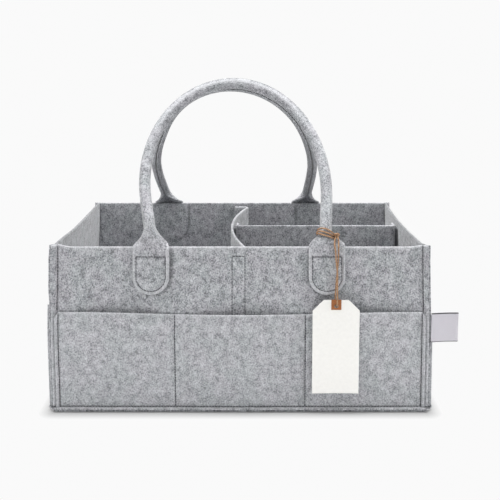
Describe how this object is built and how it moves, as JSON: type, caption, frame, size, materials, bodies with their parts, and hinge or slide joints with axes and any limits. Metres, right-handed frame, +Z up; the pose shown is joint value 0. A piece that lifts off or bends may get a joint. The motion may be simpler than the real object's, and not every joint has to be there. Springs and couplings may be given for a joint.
{
  "type": "nursery storage caddy",
  "caption": "Grey felt nursery caddy with outer pockets, two rolled carrying handles, lift-out dividers, a blank card tag on twine and a ribbon label",
  "frame": {"origin": "the middle of the base panel's underside, on the table", "axes": "+X along the long side to the right as seen from the front, +Y from the front to the back, +Z up; the tag and the label are at the front"},
  "size_m": [0.4111, 0.2741, 0.3346],
  "materials": {
    "felt": "grey melange felt, matte with loose fibres",
    "tape": "grey hook-and-loop tape",
    "core": "pale cotton cord",
    "jute": "twisted jute twine",
    "card": "white matte card",
    "kraft": "brown paper reinforcement",
    "ribbon": "pale woven ribbon with a dark selvage"
  },
  "bodies": {
    "caddy_box": {"base_panel": "felt", "front_panel": "felt", "right_panel": "felt", "back_panel": "felt", "left_panel": "felt", "front_pocket": "felt", "right_pocket": "felt", "back_pocket": "felt", "left_pocket": "felt", "front_loop_tape": "tape", "back_loop_tape": "tape", "right_loop_tape": "tape", "front_left_tab": "felt", "front_right_tab": "felt", "back_left_tab": "felt", "back_right_tab": "felt"},
    "front_handle": {"front_handle_grip": "felt", "front_handle_core": "core", "twine_wrap": "jute"},
    "back_handle": {"back_handle_grip": "felt", "back_handle_core": "core"},
    "main_divider": {"main_divider": "felt", "main_front_hook_tape": "tape", "main_back_hook_tape": "tape", "main_loop_tape": "tape"},
    "cross_divider": {"cross_divider": "felt", "cross_left_hook_tape": "tape", "cross_right_hook_tape": "tape"},
    "hang_tag": {"twine_knot": "jute", "twine_strands": "jute", "hang_tag": "card", "tag_patch": "kraft"},
    "side_label": {"side_label": "ribbon"}
  },
  "joints": [
    {"name": "front_handle_fold", "type": "hinge", "parent": "caddy_box", "child": "front_handle", "pos_m": [0, -0.1279, 0.17301], "axis": [1, 0, 0], "range_deg": [0, 150]},
    {"name": "back_handle_fold", "type": "hinge", "parent": "caddy_box", "child": "back_handle", "pos_m": [0, 0.1279, 0.17301], "axis": [-1, 0, 0], "range_deg": [0, 150]},
    {"name": "main_divider_lift", "type": "slide", "parent": "caddy_box", "child": "main_divider", "axis": [0, 0, 1], "range_m": [0, 0.148]},
    {"name": "cross_divider_lift", "type": "slide", "parent": "caddy_box", "child": "cross_divider", "axis": [0, 0, 1], "range_m": [0, 0.148]},
    {"name": "tag_follow", "type": "hinge", "parent": "front_handle", "child": "hang_tag", "pos_m": [0.097, -0.12124, 0.18393], "axis": [1, 0, 0], "range_deg": [-150, 0]},
    {"name": "label_flex", "type": "hinge", "parent": "caddy_box", "child": "side_label", "pos_m": [0.18894, -0.12815, 0.088], "axis": [0, 0, 1], "range_deg": [-60, 30]}
  ],
  "couplings": [
    {"joint": "tag_follow", "follows": "front_handle_fold", "ratio": -1}
  ]
}
